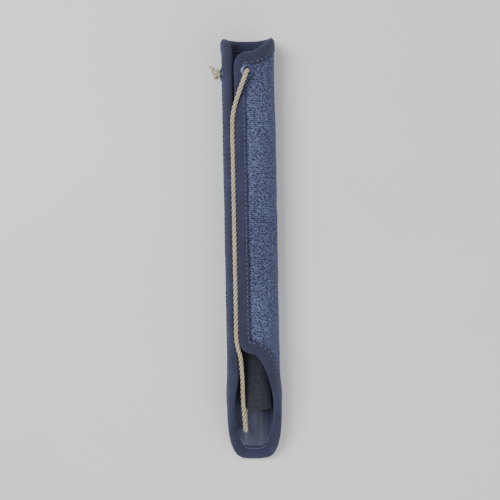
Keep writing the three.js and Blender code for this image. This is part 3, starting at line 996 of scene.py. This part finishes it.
def cotton_material():
    surface = Surface(
        "cotton_cord", Sheen_Weight=0.25, Sheen_Roughness=0.6, Sheen_Tint=srgb(250, 244, 225)
    )
    place, (along, across, _) = surface.place(), surface.sweep()
    slanted = surface.math("SUBTRACT", across, surface.math("MULTIPLY", along, 0.55))
    yarn = surface.bands(slanted, 0.00052)
    # Colour darkens with groove depth, down to a brown at the bottom of each groove: painted shade
    # between the strands.
    groove = surface.node("ShaderNodeAttribute", attribute_name="groove").outputs["Fac"]
    base = surface.ramp(
        groove,
        (0.0, srgb(236, 227, 207)),
        (0.45, srgb(216, 205, 180)),
        (1.0, srgb(150, 136, 108)),
    )
    yarns = surface.ramp(yarn, (0.0, srgb(220, 214, 202)), (0.6, srgb(255, 255, 255)))
    handled = surface.ramp(
        surface.noise(place, 48), (0.3, srgb(228, 221, 208)), (0.7, srgb(255, 255, 255))
    )
    colour = surface.mixed("MULTIPLY", 1.0, base, yarns)
    surface.link(surface.mixed("MULTIPLY", 1.0, colour, handled), "Base Color")
    surface.link(surface.levels(surface.noise(place, 700), 0.78, 0.98), "Roughness")
    laid = surface.bump(yarn, 0.6, 0.00018)
    surface.link(surface.bump(surface.noise(place, 3600, 4.0), 0.55, 0.00018, laid), "Normal")
    return surface.material


def foam_material():
    surface = Surface("closed_cell_foam", Sheen_Weight=0.12, Specular_IOR_Level=0.35)
    place = surface.place()
    pores = surface.cells(place, 850)
    small = surface.cells(place, 2100)
    deep, shallow = surface.math("MULTIPLY", pores, 0.6), surface.math("MULTIPLY", small, 0.5)
    tone = surface.math("ADD", deep, shallow)
    # Colour follows the pore cells: darker down in each pit and lighter on the cell walls between
    # them, painted shade.
    base = surface.ramp(
        tone, (0.05, srgb(14, 16, 20)), (0.5, srgb(34, 39, 47)), (0.9, srgb(52, 58, 68))
    )
    dusty = surface.ramp(
        surface.noise(place, 60), (0.4, srgb(205, 208, 214)), (0.8, srgb(255, 255, 255))
    )
    surface.link(surface.mixed("MULTIPLY", 1.0, base, dusty), "Base Color")
    surface.link(surface.levels(surface.noise(place, 180), 0.72, 0.95), "Roughness")
    coarse = surface.bump(pores, 0.55, 0.0004)
    surface.link(surface.bump(small, 0.5, 0.0002, coarse), "Normal")
    return surface.material


def eyelet_material():
    surface = Surface("lacquered_brass", Metallic=0.6, Coat_Weight=0.12, Coat_Roughness=0.35)
    place = surface.place()
    tarnish = surface.noise(place, 320, 5.0)
    lacquer = surface.ramp(
        tarnish, (0.35, srgb(44, 50, 78)), (0.62, srgb(76, 84, 118)), (0.8, srgb(140, 138, 132))
    )
    surface.link(lacquer, "Base Color")
    surface.link(surface.levels(surface.noise(place, 900), 0.36, 0.58), "Roughness")
    surface.link(surface.bump(surface.noise(place, 1400), 0.2, 0.0001), "Normal")
    return surface.material


def moulded_material(name, dark, light, rough):
    """Moulded plastic with flow marks and a fine grain."""
    surface = Surface(name, Specular_IOR_Level=0.5)
    place = surface.place()
    flow = surface.noise(surface.stretched(place, (60.0, 18.0, 60.0)), 1.0)
    surface.link(surface.ramp(flow, (0.3, dark), (0.7, light)), "Base Color")
    surface.link(surface.levels(surface.noise(place, 260), rough - 0.08, rough + 0.1), "Roughness")
    surface.link(surface.bump(surface.noise(place, 1900), 0.15, 0.0001), "Normal")
    return surface.material


def elastic_material():
    surface = Surface("woven_elastic", Sheen_Weight=0.15)
    place = surface.place()
    parts = surface.node("ShaderNodeSeparateXYZ", {"Vector": place}).outputs
    weft = surface.bands(surface.math("ADD", parts["X"], parts["Z"]), 0.0007)
    warp = surface.bands(parts["Y"], 0.001)
    woven = surface.math("MULTIPLY", weft, warp)
    colour = surface.ramp(woven, (0.0, srgb(16, 17, 22)), (0.8, srgb(58, 61, 74)))
    surface.link(colour, "Base Color")
    surface.link(surface.levels(surface.noise(place, 500), 0.6, 0.85), "Roughness")
    surface.link(surface.bump(woven, 0.7, 0.0002), "Normal")
    return surface.material


def floor_material():
    surface = Surface("pale_floor")
    place = surface.place()
    tone = surface.ramp(
        surface.noise(place, 5), (0.3, srgb(226, 226, 224)), (0.7, srgb(232, 232, 231))
    )
    surface.link(tone, "Base Color")
    surface.link(surface.levels(surface.noise(place, 30), 0.6, 0.75), "Roughness")
    return surface.material


def finish_with(material, *objs):
    for obj in objs:
        if obj.material_slots:
            for held in obj.material_slots:
                held.material = material
        else:
            obj.data.materials.append(material)


# --- Camera, floor and light ----------------------------------------------------------------
def overhead_camera():
    """Straight above, toe at the bottom of the picture, the trough leaning one degree."""
    data = bpy.data.cameras.new("camera")
    data.lens = 85
    camera = bpy.data.objects.new("camera", data)
    camera.location = (-0.001, 0.0, 0.88)
    camera.rotation_euler = (0, 0, math.radians(-1.1))
    bpy.context.scene.collection.objects.link(camera)
    bpy.context.scene.camera = camera


def pale_floor():
    obj = mesh_object(
        "floor",
        [(-3, -3, -0.0001), (3, -3, -0.0001), (3, 3, -0.0001), (-3, 3, -0.0001)],
        [(0, 1, 2, 3)],
    )
    return obj


def soft_light(name, place, size, power):
    """A square area light that faces the origin."""
    data = bpy.data.lights.new(name, "AREA")
    data.shape = "SQUARE"
    data.size = size
    data.energy = power
    lamp = bpy.data.objects.new(name, data)
    lamp.location = place
    axes = aligned(place)
    lamp.rotation_mode = "QUATERNION"
    lamp.rotation_quaternion = Matrix(axes.T.tolist()).to_quaternion()
    bpy.context.scene.collection.objects.link(lamp)


def studio():
    world = bpy.data.worlds.new("studio")
    world.use_nodes = True
    background = world.node_tree.nodes["Background"]
    background.inputs["Color"].default_value = srgb(236, 238, 242)
    background.inputs["Strength"].default_value = 0.55
    bpy.context.scene.world = world
    soft_light("key", (-0.45, 0.30, 0.85), 0.55, 9.0)
    soft_light("fill", (0.7, -0.4, 0.7), 0.9, 4.0)
    soft_light("front", (0.1, -0.9, 0.5), 0.8, 3.0)


# --- Assembly -------------------------------------------------------------------------------
overhead_camera()
right_hank, left_hank = hank_points(0, 2, False), hank_points(1, 6, True)
right_cord, right_line = pull_cord("right", RIGHT_CORD_RUN, right_hank, RIGHT_CORD_LEAD)
left_cord, left_line = pull_cord("left", LEFT_CORD_RUN, left_hank, LEFT_CORD_LEAD)

outside_reach = OUTER_RADIUS + FLANGE_STAND + KNOT_FLAT * KNOT_RADIUS
inside_reach = INNER_RADIUS - WASHER_STAND - KNOT_FLAT * KNOT_RADIUS
left_knot, left_tail = anchor_knot("left", LEFT_EYELET, outside_reach, 1)
right_knot, right_tail = anchor_knot("right", RIGHT_EYELET, inside_reach, -1)
right_end_knot, right_end_tail = grip_knot("right", TOE_GRIP_Y, -1)
left_end_knot, left_end_tail = grip_knot("left", HEEL_GRIP_Y, 1)
right_ends = [right_knot, right_end_knot, right_tail, right_end_tail]
left_ends = [left_knot, left_end_knot, left_tail, left_end_tail]

cover, lining = terry_cover(), nylon_sheet()
tape, stitches = edge_binding(), binding_stitches()
grips = [foam_grip("right", TOE_GRIP_Y, -1), foam_grip("left", HEEL_GRIP_Y, 1)]
tie = hank_tie()

finish_with(terry_material(), cover)
finish_with(nylon_material(), lining)
finish_with(tape_material(), tape)
finish_with(thread_material(), stitches)
finish_with(cotton_material(), right_cord, left_cord, *right_ends, *left_ends)
finish_with(foam_material(), *grips)
finish_with(elastic_material(), tie)
eyelets = ("left_eyelet", "left_eyelet_washer", "right_eyelet", "right_eyelet_washer")
finish_with(eyelet_material(), *[nodes[name] for name in eyelets])
finish_with(
    moulded_material("sprung_plastic", srgb(206, 203, 192), srgb(232, 230, 222), 0.42),
    nodes["core_shell"],
)
finish_with(
    moulded_material("liner_plastic", srgb(196, 196, 190), srgb(222, 222, 218), 0.38),
    nodes["left_grip_liner"],
    nodes["right_grip_liner"],
)
finish_with(
    moulded_material("washer_plastic", srgb(24, 27, 34), srgb(44, 48, 58), 0.45),
    nodes["left_knot_washer"],
    nodes["right_knot_washer"],
)
floor = pale_floor()
finish_with(floor_material(), floor)
studio()
